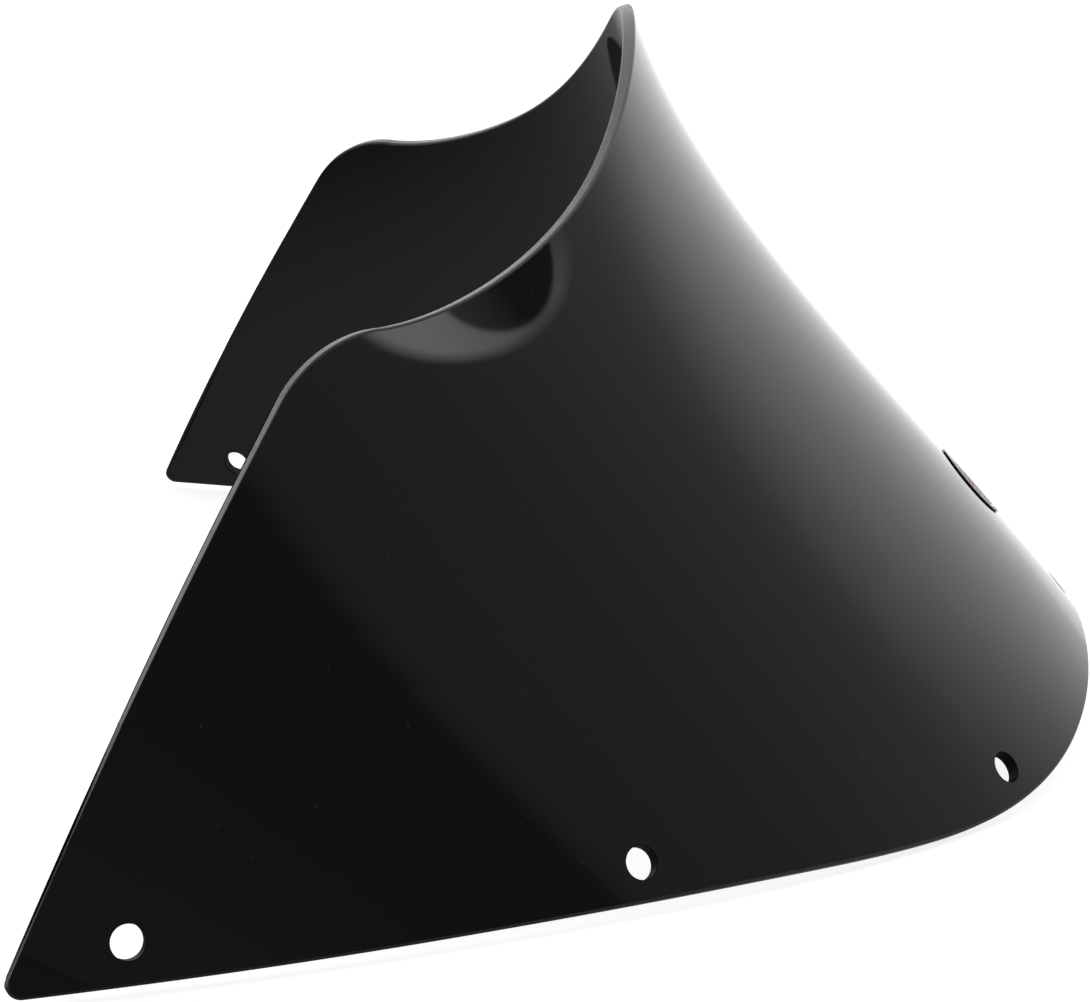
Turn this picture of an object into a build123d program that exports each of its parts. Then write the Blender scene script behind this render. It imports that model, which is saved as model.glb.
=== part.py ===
from build123d import *

# Fairing windshield screen: one heat-formed acrylic sheet and its domed badge.
# Millimetres, +Z up. The front of the screen faces -Y and the rider's side +Y.
# The sheet is described in the frame of its forming mould, whose level sections
# are simple curves, and is then set down on its own bottom edge.

import os
from math import sqrt

os.makedirs("parts", exist_ok=True)

# ---- Sheet ------------------------------------------------------------------------
SHEET = 4.4  # thickness of the acrylic
NOSE_TOP = 219.4  # height of the front centre line above its lowest point
NOSE_LEAN = (0.692, 0.300, -0.349)  # backward lean of that line, curving upright
NOSE_RADIUS = (148.7, 135.1, 201.6)  # radius of the nose: low, half way, at the top
WING_CURL = (-0.191, -0.053, -0.350)  # how far the wings bow in on their way back

# ---- Outline in side view: (distance behind the nose, height) -----------------------
REAR_LOW = (341.6, 0.0)
REAR_BOW = 3.1  # the rear edge bows out by this much half way up
REAR_HIGH = (245.6, 156.0)
BOTTOM = ((-1.7, 5.1), (0, 0), (1.4, -3.0), (3.6, -6.2), (7.3, -10.1), (12.9, -14.2),
          (20.6, -18.1), (30.9, -21.2), (43.9, -23.0), (77.5, -21.7), (118.9, -17.0),
          (166.3, -12.6), (219.5, -8.7), (278.1, -4.7))
TOP = ((138.1, 230.1), (141.1, 219.4), (142.4, 214.6), (144.3, 208.6), (147.8, 200.3),
       (153.7, 190.0), (163.2, 178.3), (177.7, 167.1), (197.6, 158.2), (221.5, 153.9))
AHEAD_LOW = (-30, 30)  # the outline is closed in front of the nose through these two
AHEAD_HIGH = (95, 236)
LOW_CORNER = 3.5  # corner radii
HIGH_CORNER = 30.0
EDGE_ROUND = 0.4  # the routed edge is broken and polished all round

# ---- Screw holes: (share of the way back along the wing, height) --------------------
HOLE = 10.0  # diameter, square to the sheet
SIDE_HOLES = ((0.9545, 9.2), (0.697, -2.4), (0.391, -13.1))
NOSE_HOLE = 6.7

# ---- Badge: flexible layers bent round the nose --------------------------------------
BADGE_HEIGHT = 46.2  # height of its middle on the nose
BADGE = 29.0  # diameter of the base film
PAD = 0.15  # adhesive
PAD_INSET = 0.3  # the adhesive stops short of the film's edge
FILM = 0.15  # black base film
FOIL = 0.1  # bright ring and coloured band, let into the resin
DOME = 0.4  # clear resin over the film
DOME_INSET = 0.2  # the resin stops short of the film's edge
DOME_ROUND = 0.25  # its rolled-over rim
RING_OUTER = 12.3  # radii of the ring
RING_INNER = 11.5
BAND = 7.0  # width of the coloured band across the middle
BAND_GAP = 0.2  # between the band's ends and the ring

# ---- Working faces, cut from a blank larger than the sheet -----------------------------
BLANK_REACH = 1.04  # the blank's half width, where 1 is a rear edge
BLANK_LOW = -31
BLANK_HIGH = NOSE_TOP + 6
BADGE_REACH = 0.09  # half width of the faces that the badge is cut from
CUT = 15.0  # half length of the badge's cutters
OUTLINE_CUT = 400.0  # and of the outline's

# ---- Setting down ----------------------------------------------------------------------
SETTLE = 4.6  # degrees the sheet tips back until its bottom edge stands level


def blend(z, low, middle, high):
    """Value at height z of a smooth change from low through middle to high."""
    q = z / NOSE_TOP
    ends = low * (2 * q - 1) * (q - 1) + high * q * (2 * q - 1)
    return ends + middle * 4 * q * (1 - q)


def nose_y(z):
    """How far the front centre line lies behind its lowest point."""
    q = z / NOSE_TOP
    return NOSE_TOP * (NOSE_LEAN[0] * q + NOSE_LEAN[1] * q**2 + NOSE_LEAN[2] * q**3)


def rear_y(z):
    """How far the rear edge lies behind the nose's lowest point."""
    q = z / REAR_HIGH[1]
    straight = REAR_LOW[0] + (REAR_HIGH[0] - REAR_LOW[0]) * q
    return straight + REAR_BOW * 4 * q * (1 - q)


def skin(u, z):
    """Point on the outer face; u runs from -1 at one rear edge to 1 at the other."""
    depth = rear_y(z) - nose_y(z)
    roundness = 2 * blend(z, *NOSE_RADIUS) + blend(z, *WING_CURL) * depth * u**2
    return Vector(u * sqrt(depth * roundness), nose_y(z) + depth * u**2, z)


def outward(u, z):
    """Unit normal of the outer face."""
    across = skin(u + 0.01, z) - skin(u - 0.01, z)
    upward = skin(u, z + 1) - skin(u, z - 1)
    return across.cross(upward).normalized()


def skin_patch(reach, low, high, columns, rows, lift=0.0):
    """Smooth face over |u| < reach between two heights, lifted off the outer face."""
    grid = []
    for i in range(columns):
        u = reach * (2 * i / (columns - 1) - 1)
        column = []
        for j in range(rows):
            z = low + (high - low) * j / (rows - 1)
            column.append(skin(u, z) + outward(u, z) * lift)
        grid.append(column)
    return Face.make_surface_from_array_of_points(grid, tol=0.002)


# ---- Outer face, trimmed to the outline --------------------------------------------------
blank = skin_patch(BLANK_REACH, BLANK_LOW, BLANK_HIGH, 61, 31)

with BuildPart() as outline:
    with BuildSketch(Plane.YZ) as side_view:
        with BuildLine():
            Spline(*BOTTOM, REAR_LOW)
            Spline(REAR_LOW, (rear_y(REAR_HIGH[1] / 2), REAR_HIGH[1] / 2), REAR_HIGH)
            Spline(*TOP, REAR_HIGH)
            Polyline(BOTTOM[0], AHEAD_LOW, AHEAD_HIGH, TOP[0])
        make_face()
        fillet(side_view.vertices().sort_by_distance((*REAR_LOW, 0))[0], LOW_CORNER)
        fillet(side_view.vertices().sort_by_distance((*REAR_HIGH, 0))[0], HIGH_CORNER)
    extrude(amount=OUTLINE_CUT, both=True)

outer_face = blank & outline.part

# ---- Sheet, thickened inwards so that its edges stay square to the skin --------------------
with BuildPart() as screen_sheet:
    thicken(outer_face, amount=-SHEET)
    fillet(screen_sheet.faces().sort_by(SortBy.AREA)[-1].edges(), EDGE_ROUND)
    fillet(screen_sheet.faces().sort_by(SortBy.AREA)[-2].edges(), EDGE_ROUND)
    for side in (-1, 1):
        for share, height in SIDE_HOLES:
            u = side * share
            with BuildSketch(Plane(skin(u, height), z_dir=outward(u, height))):
                Circle(HOLE / 2)
            extrude(amount=2 * SHEET, both=True, mode=Mode.SUBTRACT)
    with BuildSketch(Plane(skin(0, NOSE_HOLE), z_dir=outward(0, NOSE_HOLE))):
        Circle(HOLE / 2)
    extrude(amount=2 * SHEET, both=True, mode=Mode.SUBTRACT)

# ---- Badge ------------------------------------------------------------------------------------
badge_plane = Plane(
    skin(0, BADGE_HEIGHT), x_dir=(1, 0, 0), z_dir=outward(0, BADGE_HEIGHT)
)
badge_low = BADGE_HEIGHT - 0.6 * BADGE
badge_high = BADGE_HEIGHT + 0.6 * BADGE
on_skin = skin_patch(BADGE_REACH, badge_low, badge_high, 13, 13)
on_pad = skin_patch(BADGE_REACH, badge_low, badge_high, 13, 13, PAD)
on_film = skin_patch(BADGE_REACH, badge_low, badge_high, 13, 13, PAD + FILM)

with BuildPart() as badge_pad:
    thicken(on_skin, amount=PAD)
    with BuildSketch(badge_plane):
        Circle(BADGE / 2 - PAD_INSET)
    extrude(amount=CUT, both=True, mode=Mode.INTERSECT)

with BuildPart() as badge_film:
    thicken(on_pad, amount=FILM)
    with BuildSketch(badge_plane):
        Circle(BADGE / 2)
    extrude(amount=CUT, both=True, mode=Mode.INTERSECT)

with BuildPart() as badge_ring:
    thicken(on_film, amount=FOIL)
    with BuildSketch(badge_plane):
        Circle(RING_OUTER)
        Circle(RING_INNER, mode=Mode.SUBTRACT)
    extrude(amount=CUT, both=True, mode=Mode.INTERSECT)

with BuildPart() as badge_band:
    thicken(on_film, amount=FOIL)
    with BuildSketch(badge_plane):
        Circle(RING_INNER - BAND_GAP)
        Rectangle(2 * RING_INNER, BAND, mode=Mode.INTERSECT)
    extrude(amount=CUT, both=True, mode=Mode.INTERSECT)

with BuildPart() as badge_dome:
    thicken(on_film, amount=DOME)
    with BuildSketch(badge_plane):
        Circle(BADGE / 2 - DOME_INSET)
    extrude(amount=CUT, both=True, mode=Mode.INTERSECT)
    outermost = badge_dome.faces().sort_by(Axis(badge_plane.origin, badge_plane.z_dir))[-1]
    fillet(outermost.edges(), DOME_ROUND)
    add(badge_ring.part, mode=Mode.SUBTRACT)
    add(badge_band.part, mode=Mode.SUBTRACT)

# ---- Set down on the bottom edge, centred on the origin ------------------------------------------
tipped = Location((0, 0, 0), (-SETTLE, 0, 0))
box = screen_sheet.part.moved(tipped).bounding_box()
set_down = Location((0, -(box.min.Y + box.max.Y) / 2, -box.min.Z)) * tipped

for piece in (screen_sheet, badge_pad, badge_film, badge_ring, badge_band, badge_dome):
    piece.part.location = set_down

screen_sheet.part.label = "screen_sheet"
export_step(screen_sheet.part, "parts/screen_sheet.step")

badge_pad.part.label = "badge_pad"
export_step(badge_pad.part, "parts/badge_pad.step")

badge_film.part.label = "badge_film"
export_step(badge_film.part, "parts/badge_film.step")

badge_ring.part.label = "badge_ring"
export_step(badge_ring.part, "parts/badge_ring.step")

badge_band.part.label = "badge_band"
export_step(badge_band.part, "parts/badge_band.step")

badge_dome.part.label = "badge_dome"
export_step(badge_dome.part, "parts/badge_dome.step")
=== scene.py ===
"""Looks of the windshield screen: a gloss-black formed sheet with a ground edge and a domed badge.

Metres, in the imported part's own frame: +Z up, the nose faces -Y. The sheet's formula and
outline are in millimetres in the frame of its forming mould, as in the part's source.
"""

import math

import bmesh
import bpy
import numpy as np
from mathutils import Matrix, Vector


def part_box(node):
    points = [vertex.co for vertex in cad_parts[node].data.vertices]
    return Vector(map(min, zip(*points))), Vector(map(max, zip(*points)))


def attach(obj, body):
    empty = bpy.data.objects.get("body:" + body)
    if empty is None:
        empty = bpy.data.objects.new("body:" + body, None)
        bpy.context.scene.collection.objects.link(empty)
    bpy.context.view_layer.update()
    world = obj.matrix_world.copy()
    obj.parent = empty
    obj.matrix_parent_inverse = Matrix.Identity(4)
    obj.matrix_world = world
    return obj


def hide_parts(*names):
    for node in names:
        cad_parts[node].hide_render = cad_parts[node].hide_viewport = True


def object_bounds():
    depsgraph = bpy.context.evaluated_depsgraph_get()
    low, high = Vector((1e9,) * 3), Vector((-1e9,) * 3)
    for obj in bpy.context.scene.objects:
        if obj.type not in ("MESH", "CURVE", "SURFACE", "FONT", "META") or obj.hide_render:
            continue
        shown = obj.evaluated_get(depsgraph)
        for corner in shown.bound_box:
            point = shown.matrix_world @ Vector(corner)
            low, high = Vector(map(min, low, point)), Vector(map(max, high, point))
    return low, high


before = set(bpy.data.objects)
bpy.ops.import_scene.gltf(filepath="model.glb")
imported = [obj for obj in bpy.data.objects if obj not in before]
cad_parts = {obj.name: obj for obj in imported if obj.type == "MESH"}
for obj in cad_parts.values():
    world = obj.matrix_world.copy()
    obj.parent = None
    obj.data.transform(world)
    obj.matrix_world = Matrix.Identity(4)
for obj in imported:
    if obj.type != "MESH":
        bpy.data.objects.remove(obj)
cad_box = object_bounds()
scene = bpy.context.scene

MM = 0.001

# ---- The sheet, in millimetres in its mould's frame ---------------------------------
SHEET = 4.4  # thickness
NOSE_TOP = 219.4
NOSE_LEAN = (0.692, 0.300, -0.349)
NOSE_RADIUS = (148.7, 135.1, 201.6)
WING_CURL = (-0.191, -0.053, -0.350)
REAR_LOW = (341.6, 0.0)
REAR_BOW = 3.1
REAR_HIGH = (245.6, 156.0)
BOTTOM = ((-1.7, 5.1), (0, 0), (1.4, -3.0), (3.6, -6.2), (7.3, -10.1), (12.9, -14.2),
          (20.6, -18.1), (30.9, -21.2), (43.9, -23.0), (77.5, -21.7), (118.9, -17.0),
          (166.3, -12.6), (219.5, -8.7), (278.1, -4.7))
TOP = ((138.1, 230.1), (141.1, 219.4), (142.4, 214.6), (144.3, 208.6), (147.8, 200.3),
       (153.7, 190.0), (163.2, 178.3), (177.7, 167.1), (197.6, 158.2), (221.5, 153.9))
LOW_CORNER = 3.5
HIGH_CORNER = 30.0
SETTLE = 4.6  # degrees the sheet tips back to stand on its foot

HOLE = 10.0
SIDE_HOLES = ((0.9545, 9.2), (0.697, -2.4), (0.391, -13.1))
NOSE_HOLE = 6.7
DEBURR = 0.25  # width of the broken edge round each hole
CUTTER_PROUD = 2.0  # how far a hole's cutter stands out of each face
EDGE_ROUND = 0.9  # radius of the polished rim

COLUMNS = 361  # the sheet's mesh: points across, and from foot to top
ROWS = 97
ARC_STEPS = 6  # flats round each edge of the rim
HOLE_SIDES = 72
CURVE_STEPS = 400  # points along the foot's curve, and along the top's
REAR_STEPS = 200  # along the rear edge
CORNER_STEPS = 38  # and round each of its corners
GENTLE_FOLD = 0.85  # cosine of the sharpest fold that is shaded smooth

# Places in a sheet's list of materials
SKIN = 0
RIM = 1
BORE = 2


# ---- Sheet geometry -------------------------------------------------------------------
def blend(z, low, middle, high):
    """Smooth change with height from low through middle to high."""
    q = z / NOSE_TOP
    ends = low * (2 * q - 1) * (q - 1) + high * q * (2 * q - 1)
    return ends + middle * 4 * q * (1 - q)


def nose_y(z):
    q = z / NOSE_TOP
    return NOSE_TOP * (NOSE_LEAN[0] * q + NOSE_LEAN[1] * q**2 + NOSE_LEAN[2] * q**3)


def rear_y(z):
    q = z / REAR_HIGH[1]
    straight = REAR_LOW[0] + (REAR_HIGH[0] - REAR_LOW[0]) * q
    return straight + REAR_BOW * 4 * q * (1 - q)


def skin(u, z):
    """Points on the outer face; u runs from -1 at one rear edge to 1 at the other."""
    depth = rear_y(z) - nose_y(z)
    roundness = 2 * blend(z, *NOSE_RADIUS) + blend(z, *WING_CURL) * depth * u**2
    return np.stack([u * np.sqrt(depth * roundness), nose_y(z) + depth * u**2, z], -1)


def unit(v):
    return v / np.linalg.norm(v, axis=-1, keepdims=True)


def outward(u, z):
    """Unit normals of the outer face."""
    across = skin(u + 0.01, z) - skin(u - 0.01, z)
    upward = skin(u, z + 1) - skin(u, z - 1)
    return unit(np.cross(across, upward))


def share_back(y, z):
    """The |u| of points given in side view."""
    return np.sqrt(np.clip((y - nose_y(z)) / (rear_y(z) - nose_y(z)), 0, None))


def through(points, count=CURVE_STEPS):
    """A smooth curve through the points: a natural cubic spline over the chord length."""
    p = np.array(points, float)
    t = np.concatenate([[0], np.cumsum(np.linalg.norm(np.diff(p, axis=0), axis=1))])
    h = np.diff(t)
    n = len(p)
    matrix = np.eye(n)
    right = np.zeros((n, 2))
    for i in range(1, n - 1):
        matrix[i, i - 1 : i + 2] = h[i - 1], 2 * (h[i - 1] + h[i]), h[i]
        right[i] = 6 * ((p[i + 1] - p[i]) / h[i] - (p[i] - p[i - 1]) / h[i - 1])
    bend = np.linalg.solve(matrix, right)
    s = np.linspace(0, t[-1], count)
    k = np.clip(np.searchsorted(t, s, "right") - 1, 0, n - 2)
    a = ((t[k + 1] - s) / h[k])[:, None]
    b = 1 - a
    cubic = (a**3 - a) * bend[k] + (b**3 - b) * bend[k + 1]
    return a * p[k] + b * p[k + 1] + cubic * (h[k] ** 2)[:, None] / 6


def round_corner(before, after, radius):
    """Joins two curves, before's end at after's start, by an arc of this radius."""
    came = unit(before[-1] - before[-8])
    goes = unit(after[7] - after[0])
    turn = math.acos(np.clip(came @ goes, -1, 1))
    cut = radius * math.tan(turn / 2)
    corner = before[-1]
    before = before[np.linalg.norm(before - corner, axis=1) > cut]
    after = after[np.linalg.norm(after - corner, axis=1) > cut]
    reach = radius * 4 / 3 * math.tan(turn / 4)
    a, d = before[-1], after[0]
    b, c = a + came * reach, d - goes * reach
    s = np.linspace(0, 1, CORNER_STEPS + 2)[1:-1, None]
    arc = a * (1 - s) ** 3 + 3 * b * s * (1 - s) ** 2 + 3 * c * s**2 * (1 - s) + d * s**3
    return np.concatenate([before, arc, after])


def outline():
    """Heights of the foot and of the top edge at each column's u, for u from 0 to 1."""
    middle = (rear_y(REAR_HIGH[1] / 2), REAR_HIGH[1] / 2)
    rear = through((REAR_LOW, middle, REAR_HIGH), REAR_STEPS)
    edge = round_corner(through((*BOTTOM, REAR_LOW)), rear, LOW_CORNER)
    edge = round_corner(edge, through((*TOP, REAR_HIGH))[::-1], HIGH_CORNER)
    edge = edge[edge[:, 0] >= nose_y(edge[:, 1]) - 0.3]
    u = np.clip(share_back(edge[:, 0], edge[:, 1]), 0, 1)
    # the foot ends and the top begins at a point part way up the rear edge, where u is 1
    half_way = np.argmax((u > 0.9999) & (edge[:, 1] > 60))
    columns = np.sin(np.linspace(0, math.pi / 2, COLUMNS // 2 + 1))
    foot = np.interp(columns, np.maximum.accumulate(u[:half_way]), edge[:half_way, 1])
    top_u = np.maximum.accumulate(u[half_way:][::-1])
    top = np.interp(columns, top_u, edge[half_way:, 1][::-1])
    return columns, foot, top


def sheet_grid():
    """u and z of the outer face's points, as two arrays of COLUMNS by ROWS."""
    columns, foot, top = outline()
    u = np.concatenate([-columns[:0:-1], columns])
    low = np.concatenate([foot[:0:-1], foot])
    high = np.concatenate([top[:0:-1], top])
    t = np.linspace(0, 1, ROWS)
    z = low[:, None] + (high - low)[:, None] * t
    return np.repeat(u[:, None], ROWS, 1), z


def boundary_loop():
    """Grid places round the sheet's edge, in order."""
    last_c, last_r = COLUMNS - 1, ROWS - 1
    loop = [(i, 0) for i in range(last_c)]
    loop += [(last_c, j) for j in range(last_r)]
    loop += [(i, last_r) for i in range(last_c, 0, -1)]
    loop += [(0, j) for j in range(last_r, 0, -1)]
    return loop


def rim_profile():
    """(outward, along the normal) of the rim's points, from the outer face to the inner."""
    r = EDGE_ROUND
    arc = [math.radians(90 * k / ARC_STEPS) for k in range(ARC_STEPS + 1)]
    outer = [(r * math.sin(a) - r, r * math.cos(a) - r) for a in arc]
    return outer + [(b, -SHEET - n) for b, n in reversed(outer)]


def blank_sheet():
    """The sheet with no holes yet, as a bmesh: its two faces and, round them, its rim."""
    u, z = sheet_grid()
    outer = skin(u, z)
    normal = outward(u, z)
    inner = outer - normal * SHEET
    loop = boundary_loop()
    at = tuple(np.array(loop).T)
    edge = outer[at]
    along = unit(np.roll(edge, -1, 0) - np.roll(edge, 1, 0))
    side = unit(np.cross(along, normal[at]))
    profile = rim_profile()
    rings = [edge + side * b + normal[at] * n for b, n in profile]
    outer[at] = rings[0]
    inner[at] = rings[-1]

    bm = bmesh.new()
    faces = []
    for grid in (outer, inner):
        faces.append([[bm.verts.new(p) for p in column] for column in grid])
    out_v, in_v = faces
    for i in range(COLUMNS - 1):
        for j in range(ROWS - 1):
            a, b, c, d = (i, j), (i + 1, j), (i + 1, j + 1), (i, j + 1)
            bm.faces.new([out_v[x][y] for x, y in (a, b, c, d)])
            bm.faces.new([in_v[x][y] for x, y in (d, c, b, a)])
    bands = [[out_v[x][y] for x, y in loop]]
    bands += [[bm.verts.new(p) for p in ring] for ring in rings[1:-1]]
    bands.append([in_v[x][y] for x, y in loop])
    count = len(loop)
    for one, two in zip(bands, bands[1:]):
        for k in range(count):
            m = (k + 1) % count
            face = bm.faces.new([one[m], one[k], two[k], two[m]])
            face.material_index = RIM
    return bm


def hole_cutter(u, z):
    """A round cutter square to the sheet, flared where it leaves each face."""
    u, z = np.array(float(u)), np.array(float(z))
    centre = Vector(skin(u, z))
    turn = Vector(outward(u, z)).to_track_quat("Z", "Y").to_matrix()
    r = HOLE / 2
    flare = r + DEBURR + CUTTER_PROUD
    rings = ((CUTTER_PROUD, flare), (-DEBURR, r),
             (DEBURR - SHEET, r), (-SHEET - CUTTER_PROUD, flare))
    bm = bmesh.new()
    made = []
    for height, radius in rings:
        ring = []
        for k in range(HOLE_SIDES):
            a = 2 * math.pi * k / HOLE_SIDES
            spot = Vector((radius * math.cos(a), radius * math.sin(a), height))
            ring.append(bm.verts.new(centre + turn @ spot))
        made.append(ring)
    for one, two in zip(made, made[1:]):
        for k in range(HOLE_SIDES):
            m = (k + 1) % HOLE_SIDES
            bm.faces.new([one[k], two[k], two[m], one[m]])
    bm.faces.new(made[0])
    bm.faces.new(made[-1][::-1])
    for face in bm.faces:
        face.material_index = BORE
    bmesh.ops.recalc_face_normals(bm, faces=bm.faces)
    mesh = bpy.data.meshes.new("cutter")
    bm.to_mesh(mesh)
    bm.free()
    return mesh


def link(name, mesh, *materials):
    """A new object with these materials."""
    made = bpy.data.objects.new(name, mesh)
    scene.collection.objects.link(made)
    for material in materials:
        mesh.materials.append(material)
    return made


def cut_holes(sheet, materials):
    """Bores every screw hole through the sheet."""
    cutters = []
    places = [(side * u, z) for side in (-1, 1) for u, z in SIDE_HOLES] + [(0, NOSE_HOLE)]
    for k, (u, z) in enumerate(places):
        cutter = link(f"cutter_{k}", hole_cutter(u, z), *materials)
        bore = sheet.modifiers.new(f"hole_{k}", "BOOLEAN")
        bore.operation = "DIFFERENCE"
        bore.solver = "EXACT"
        bore.object = cutter
        cutters.append(cutter)
    graph = bpy.context.evaluated_depsgraph_get()
    cut = bpy.data.meshes.new_from_object(sheet.evaluated_get(graph))
    sheet.modifiers.clear()
    sheet.data = cut
    for cutter in cutters:
        bpy.data.objects.remove(cutter)


def smooth_normals(mesh):
    """Shading normals: the formula's on the two faces, the mean over gentle folds elsewhere.

    Both faces take the outer face's normal at their own y and z, which is only near the
    truth on the inner face.
    """
    mesh.polygons.foreach_set("use_smooth", [True] * len(mesh.polygons))
    points = np.array([v.co for v in mesh.vertices], float)
    u = np.sign(points[:, 0]) * share_back(points[:, 1], points[:, 2])
    formula = outward(np.clip(u, -1.02, 1.02), points[:, 2])
    meeting = [[] for _ in points]
    for face in mesh.polygons:
        for v in face.vertices:
            meeting[v].append(face.index)
    flat = np.array([f.normal for f in mesh.polygons], float)
    area = np.array([f.area for f in mesh.polygons], float)
    corners = []
    for face in mesh.polygons:
        own = flat[face.index]
        for v in face.vertices:
            if face.material_index == SKIN:
                corners.append(formula[v] * np.sign(formula[v] @ own))
                continue
            near = [f for f in meeting[v] if flat[f] @ own > GENTLE_FOLD]
            mean = sum(flat[f] * area[f] for f in near)
            corners.append(mean / (np.linalg.norm(mean) or 1))
    mesh.normals_split_custom_set([tuple(c) for c in corners])


def make_sheet(materials):
    """The formed sheet, standing where its CAD node stands."""
    bm = blank_sheet()
    mesh = bpy.data.meshes.new("screen")
    bm.to_mesh(mesh)
    bm.free()
    sheet = link("screen_shell", mesh, *materials)
    cut_holes(sheet, materials)
    smooth_normals(sheet.data)
    low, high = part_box("screen_sheet")
    tip = Matrix.Rotation(math.radians(-SETTLE), 4, "X") @ Matrix.Scale(MM, 4)
    tipped = np.array([tip @ v.co for v in sheet.data.vertices])
    middle = (tipped.min(0) + tipped.max(0)) / 2
    foot = tipped[:, 2].min()
    shift = Vector((0, (low.y + high.y) / 2 - middle[1], low.z - foot))
    sheet.data.transform(Matrix.Translation(shift) @ tip)
    return sheet


# ---- Materials --------------------------------------------------------------------------
def material(name, **values):
    """A node material, its nodes, its links and its shader, with constants set on the shader."""
    made = bpy.data.materials.new(name)
    made.use_nodes = True
    nodes, links = made.node_tree.nodes, made.node_tree.links
    shader = nodes["Principled BSDF"]
    for socket, value in values.items():
        shader.inputs[socket.replace("_", " ")].default_value = value
    return made, nodes, links, shader


def noise(nodes, links, size, detail=2.0, rough=0.5):
    """Noise whose features are about this many metres across, fixed to the object."""
    place = nodes.new("ShaderNodeTexCoord")
    made = nodes.new("ShaderNodeTexNoise")
    made.inputs["Scale"].default_value = 1 / size
    made.inputs["Detail"].default_value = detail
    made.inputs["Roughness"].default_value = rough
    links.new(place.outputs["Object"], made.inputs["Vector"])
    return made.outputs["Fac"]


def spread(nodes, links, value, low, high, start=0.3, end=0.7):
    """value's range from start to end, remapped to low to high."""
    made = nodes.new("ShaderNodeMapRange")
    made.inputs["From Min"].default_value = start
    made.inputs["From Max"].default_value = end
    made.inputs["To Min"].default_value = low
    made.inputs["To Max"].default_value = high
    links.new(value, made.inputs["Value"])
    return made.outputs["Result"]


def mixed(nodes, links, share, first, second):
    """A colour between first and second."""
    made = nodes.new("ShaderNodeMix")
    made.data_type = "RGBA"
    made.inputs["A"].default_value = (*first, 1)
    made.inputs["B"].default_value = (*second, 1)
    links.new(share, made.inputs["Factor"])
    return made.outputs["Result"]


def bump(nodes, links, height, shader, strength, distance):
    """Raises the shader's surface by height."""
    made = nodes.new("ShaderNodeBump")
    made.inputs["Strength"].default_value = strength
    made.inputs["Distance"].default_value = distance
    links.new(height, made.inputs["Height"])
    links.new(made.outputs["Normal"], shader.inputs["Normal"])


def black_acrylic():
    """Polished sheet: faint haze in patches, a few dust specks, the mould's slight wave."""
    made, nodes, links, shader = material("black_acrylic", IOR=1.49)
    haze = noise(nodes, links, 0.09, 3)
    links.new(spread(nodes, links, haze, 0.018, 0.045), shader.inputs["Roughness"])
    specks = noise(nodes, links, 0.0011, 0)
    dust = spread(nodes, links, specks, 0, 1, 0.86, 0.90)
    colour = mixed(nodes, links, dust, (0.0030, 0.0030, 0.0034), (0.05, 0.05, 0.05))
    links.new(colour, shader.inputs["Base Color"])
    bump(nodes, links, noise(nodes, links, 0.16, 1), shader, 0.15, 0.0006)
    return made


def ground_edge():
    """Routed and lightly polished edge: paler and duller than the faces, finely scored."""
    made, nodes, links, shader = material("ground_edge", IOR=1.49)
    grind = noise(nodes, links, 0.0016, 4, 0.65)
    colour = mixed(nodes, links, grind, (0.016, 0.018, 0.021), (0.048, 0.053, 0.060))
    links.new(colour, shader.inputs["Base Color"])
    links.new(spread(nodes, links, grind, 0.28, 0.45), shader.inputs["Roughness"])
    bump(nodes, links, noise(nodes, links, 0.0006, 2), shader, 0.35, 0.0002)
    return made


def drilled_wall():
    """The walls of the screw holes: dull black, with the drill's fine marks."""
    made, nodes, links, shader = material("drilled_wall", Specular_IOR_Level=0.05)
    marks = noise(nodes, links, 0.0008, 3)
    colour = mixed(nodes, links, marks, (0.003, 0.003, 0.004), (0.010, 0.010, 0.012))
    links.new(colour, shader.inputs["Base Color"])
    links.new(spread(nodes, links, marks, 0.35, 0.55), shader.inputs["Roughness"])
    bump(nodes, links, marks, shader, 0.3, 0.0001)
    return made


def badge_foam():
    """The adhesive's dull, fine-celled foam."""
    made, nodes, links, shader = material("badge_foam", Roughness=0.9)
    cells = noise(nodes, links, 0.0005, 3)
    links.new(mixed(nodes, links, cells, (0.03,) * 3, (0.08,) * 3), shader.inputs["Base Color"])
    bump(nodes, links, cells, shader, 0.6, 0.0002)
    return made


def badge_print(name, colour, dark):
    """Printed film under resin, with the print's fine mottle and hardly a sheen of its own."""
    made, nodes, links, shader = material(name, Roughness=0.35, Specular_IOR_Level=0.08)
    mottle = noise(nodes, links, 0.0012, 3)
    links.new(mixed(nodes, links, mottle, dark, colour), shader.inputs["Base Color"])
    return made


def badge_foil():
    """Bright foil, faintly brushed."""
    made, nodes, links, shader = material("badge_foil", Metallic=1.0)
    brushed = noise(nodes, links, 0.0008, 3)
    colour = mixed(nodes, links, brushed, (0.78, 0.79, 0.81), (0.92, 0.92, 0.94))
    links.new(colour, shader.inputs["Base Color"])
    links.new(spread(nodes, links, brushed, 0.10, 0.22), shader.inputs["Roughness"])
    return made


def badge_resin():
    """Clear resin, drawn as little more than a sheen over the print, slightly uneven."""
    made, nodes, links, shader = material("badge_resin", IOR=1.5, Alpha=0.1)
    pour = noise(nodes, links, 0.006, 1)
    tint = mixed(nodes, links, pour, (0.80, 0.80, 0.82), (0.88, 0.89, 0.90))
    links.new(tint, shader.inputs["Base Color"])
    links.new(spread(nodes, links, pour, 0.03, 0.08), shader.inputs["Roughness"])
    bump(nodes, links, pour, shader, 0.1, 0.0002)
    return made


def dress(node, finish):
    """Gives a CAD node this material."""
    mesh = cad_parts[node].data
    mesh.materials.clear()
    mesh.materials.append(finish)


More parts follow.
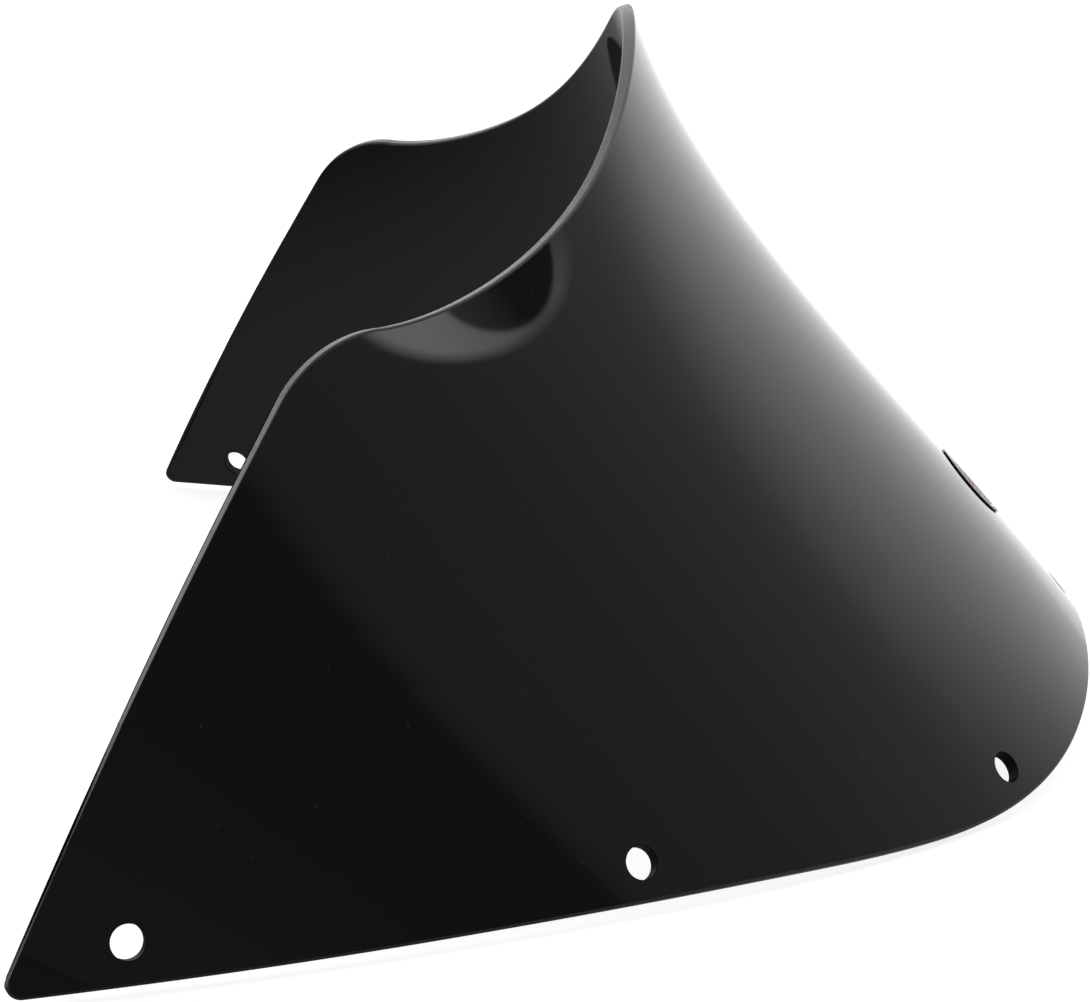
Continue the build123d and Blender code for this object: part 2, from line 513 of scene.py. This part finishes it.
# ---- Surroundings ---------------------------------------------------------------------------
# What the sheet mirrors, by compass bearing in degrees from +X: a dark studio behind the
# camera, grey curtains in front of the nose and white sweeps on the far side.
SWEEP = ((-180, 0.16), (-150, 0.18), (-136, 0.12), (-124.6, 0.11), (-123.4, 0.27),
         (-108, 0.31), (-90, 0.42), (-80, 0.46), (-73, 0.60), (-60, 1.25), (-50, 1.45),
         (-20, 1.55), (30, 1.45), (90, 0.95), (135, 0.55), (180, 0.16))
BRIGHTEST = 1.6
SWEEP_LEAN = 1.2  # degrees of bearing for each degree of height, once the lean is full
LEAN_START = -95.0  # bearing where the lean sets in
LEAN_SPREAD = 20.0  # degrees of bearing over which it becomes full
LEAN_LOW, LEAN_HIGH = -10.0, 30.0  # heights between which it grows
LEAN_UPRIGHT = 20.0  # height at which the sweep is not shifted
LAMP = (-90.5, 5.0, 20.5, 11.7)  # bearing, elevation and half sizes of a lamp's oval face
LAMP_SOFT = 0.07  # its edge fades over this share of its size
LAMP_END = -78.0  # its light has faded out by this bearing
LAMP_FADE = 8.0  # over this many degrees
LAMP_DARK_END = -84.0  # its glow grows from nothing at this bearing
LAMP_RISE = 0.11875  # by this much for each degree
LAMP_DIMMEST = 1.0
LAMP_BRIGHTEST = 2.5
LAMP_HOOD = (-91.0, 9.3, 11.0, 6.6)  # the dark hood in front of the lamp, given the same way
HOOD_SOFT = 0.06
HOOD_DARK_END = -91.0  # the hood's glow grows in the same way
HOOD_RISE = 0.045
HOOD_DIMMEST = 0.10
FLOOR_HALF = 4.0
FLOOR_DROP = 0.0002  # the floor lies this far below the object's lowest point
FLOOR_GREY = 0.45  # what the floor scatters, which its contact shadow takes away
FLOOR_GLOW = 0.82  # and its own glow
# Painted light: the floor's glow, seen by every ray but the camera's, which the sheet mirrors as
# the table it stands on; dim near the object and bright farther off,
# by distance towards the far front corner: metres of x less TABLE_SLANT times y, out to
# TABLE_REACH either way.
TABLE_PAINTED_GLOW = ((-1.0, 0.12), (-0.5, 0.14), (-0.1, 0.32), (0.16, 0.36), (0.42, 1.40), (1.0, 1.50))
TABLE_SLANT = 1.6
TABLE_REACH = 1.0

CAMERA_LENS = 105.85
CAMERA_PLACE = (-1.0744, 0.0574, 0.3495)
CAMERA_AHEAD = (0.96629, -0.03743, -0.25474)
CAMERA_UP = (0.25488, -0.00109, 0.96698)


class Sum:
    """Builds Math nodes in one tree, each from an operation and its inputs."""

    def __init__(self, tree):
        self.tree = tree

    def __call__(self, operation, *inputs):
        node = self.tree.nodes.new("ShaderNodeMath")
        node.operation = operation
        for socket, value in zip(node.inputs, inputs):
            if isinstance(value, (int, float)):
                socket.default_value = value
            else:
                self.tree.links.new(value, socket)
        return node.outputs[0]

    def held(self, value, low, high):
        """value, held between low and high."""
        return self("MINIMUM", self("MAXIMUM", value, low), high)

    def over(self, under, share, glow):
        """glow laid over under by this share."""
        kept = self("MULTIPLY", under, self("SUBTRACT", 1, share))
        return self("ADD", kept, self("MULTIPLY", share, glow))


def oval(calc, bearing, height, place, soft):
    """1 inside an oval patch of sky, 0 outside, fading over the share soft of its size."""
    x = calc("DIVIDE", calc("SUBTRACT", bearing, place[0]), place[2])
    y = calc("DIVIDE", calc("SUBTRACT", height, place[1]), place[3])
    far = calc("SQRT", calc("ADD", calc("MULTIPLY", x, x), calc("MULTIPLY", y, y)))
    inside = calc("DIVIDE", calc("SUBTRACT", 1, far), soft)
    return calc.held(inside, 0, 1)


def set_ramp(ramp, glows):
    """Fills a colour ramp with (place from 0 to 1, glow) stops, as shares of BRIGHTEST."""
    stops = ramp.color_ramp.elements
    for place, glow in glows[1:-1]:
        stops.new(place)
    for stop, (place, glow) in zip(stops, glows):
        stop.position = place
        stop.color = (*[glow / BRIGHTEST] * 3, 1)


def surroundings():
    """White to the camera; to the object, the studio it stands in."""
    world = bpy.data.worlds.new("studio")
    world.use_nodes = True
    scene.world = world
    tree = world.node_tree
    calc = Sum(tree)
    sky = tree.nodes["Background"]
    coordinates = tree.nodes.new("ShaderNodeTexCoord")
    parts = tree.nodes.new("ShaderNodeSeparateXYZ")
    tree.links.new(coordinates.outputs["Generated"], parts.inputs[0])
    x, y, z = parts.outputs
    bearing = calc("MULTIPLY", calc("ARCTAN2", y, x), 180 / math.pi)
    height = calc("MULTIPLY", calc("ARCSINE", z), 180 / math.pi)
    ramp = tree.nodes.new("ShaderNodeValToRGB")
    set_ramp(ramp, [((angle + 180) / 360, glow) for angle, glow in SWEEP])
    # the white sweep's near edge leans: it is nearer the nose higher up
    leans = calc("MULTIPLY", calc("SUBTRACT", bearing, LEAN_START), 1 / LEAN_SPREAD)
    leans = calc.held(leans, 0, 1)
    above = calc("SUBTRACT", calc.held(height, LEAN_LOW, LEAN_HIGH), LEAN_UPRIGHT)
    leaning = calc("MULTIPLY", calc("MULTIPLY", above, leans), SWEEP_LEAN)
    turn = calc("DIVIDE", calc("ADD", calc("ADD", bearing, leaning), 180), 360)
    tree.links.new(turn, ramp.inputs["Fac"])
    glow = calc("MULTIPLY", ramp.outputs["Color"], BRIGHTEST)
    lamp = oval(calc, bearing, height, LAMP, LAMP_SOFT)
    end = calc("DIVIDE", calc("SUBTRACT", LAMP_END, bearing), LAMP_FADE)
    lamp = calc("MULTIPLY", lamp, calc.held(end, 0, 1))
    # the lamp is brightest at the end nearest the rear of the screen
    strength = calc("MULTIPLY", calc("SUBTRACT", LAMP_DARK_END, bearing), LAMP_RISE)
    glow = calc.over(glow, lamp, calc.held(strength, LAMP_DIMMEST, LAMP_BRIGHTEST))
    hood = oval(calc, bearing, height, LAMP_HOOD, HOOD_SOFT)
    shade = calc("MULTIPLY", calc("SUBTRACT", HOOD_DARK_END, bearing), HOOD_RISE)
    glow = calc.over(glow, hood, calc("MAXIMUM", shade, HOOD_DIMMEST))
    path = tree.nodes.new("ShaderNodeLightPath")
    glow = calc.over(glow, path.outputs["Is Camera Ray"], 1)
    tree.links.new(glow, sky.inputs["Strength"])
    sky.inputs["Color"].default_value = (1, 1, 1, 1)


def floor():
    """A pale floor with a faint contact shadow; the object mirrors it as a table top, a painted
    glow that only rays other than the camera's see.
    """
    bm = bmesh.new()
    bmesh.ops.create_grid(bm, x_segments=8, y_segments=8, size=FLOOR_HALF)
    mesh = bpy.data.meshes.new("floor")
    bm.to_mesh(mesh)
    bm.free()
    made = bpy.data.materials.new("pale_floor")
    made.use_nodes = True
    tree = made.node_tree
    calc = Sum(tree)
    shader = tree.nodes["Principled BSDF"]
    shader.inputs["Base Color"].default_value = (*[FLOOR_GREY] * 3, 1)
    shader.inputs["Roughness"].default_value = 1.0
    shader.inputs["Specular IOR Level"].default_value = 0.0
    shader.inputs["Emission Color"].default_value = (1, 1, 1, 1)
    shader.inputs["Emission Strength"].default_value = FLOOR_GLOW
    # painted light: to every ray but the camera's the floor is this glow, dim near the object and
    # bright farther off
    painted_glow = tree.nodes.new("ShaderNodeEmission")
    place = tree.nodes.new("ShaderNodeTexCoord")
    parts = tree.nodes.new("ShaderNodeSeparateXYZ")
    tree.links.new(place.outputs["Object"], parts.inputs[0])
    ahead = calc("MULTIPLY", parts.outputs["Y"], TABLE_SLANT)
    across = calc("SUBTRACT", parts.outputs["X"], ahead)
    ramp = tree.nodes.new("ShaderNodeValToRGB")
    set_ramp(ramp, [((x + TABLE_REACH) / (2 * TABLE_REACH), glow) for x, glow in TABLE_PAINTED_GLOW])
    tree.links.new(calc("DIVIDE", calc("ADD", across, TABLE_REACH), 2 * TABLE_REACH),
                   ramp.inputs["Fac"])
    tree.links.new(calc("MULTIPLY", ramp.outputs["Color"], BRIGHTEST), painted_glow.inputs["Strength"])
    path = tree.nodes.new("ShaderNodeLightPath")
    choose = tree.nodes.new("ShaderNodeMixShader")
    tree.links.new(path.outputs["Is Camera Ray"], choose.inputs["Fac"])
    tree.links.new(painted_glow.outputs[0], choose.inputs[1])
    tree.links.new(shader.outputs[0], choose.inputs[2])
    tree.links.new(choose.outputs[0], tree.nodes["Material Output"].inputs["Surface"])
    laid = link("floor", mesh, made)
    laid.location.z = cad_box[0].z - FLOOR_DROP


def camera():
    """Level with the near wing, looking across the screen and a little down."""
    data = bpy.data.cameras.new("camera")
    data.sensor_width = 36.0
    data.sensor_fit = "HORIZONTAL"
    data.lens = CAMERA_LENS
    ahead = Vector(CAMERA_AHEAD).normalized()
    right = ahead.cross(Vector(CAMERA_UP)).normalized()
    up = right.cross(ahead)
    turn = Matrix((right, up, -ahead)).transposed().to_4x4()
    made = bpy.data.objects.new("camera", data)
    made.matrix_world = Matrix.Translation(CAMERA_PLACE) @ turn
    scene.collection.objects.link(made)
    scene.camera = made


# ---- The scene --------------------------------------------------------------------------------
screen = make_sheet([black_acrylic(), ground_edge(), drilled_wall()])
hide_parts("screen_sheet")
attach(screen, "root")

dress("badge_pad", badge_foam())
dress("badge_film", badge_print("badge_film", (0.010, 0.010, 0.012), (0.004, 0.004, 0.005)))
dress("badge_ring", badge_foil())
dress("badge_band", badge_print("badge_band", (0.62, 0.05, 0.07), (0.42, 0.02, 0.04)))
dress("badge_dome", badge_resin())

surroundings()
floor()
camera()
scene.view_settings.view_transform = "Standard"
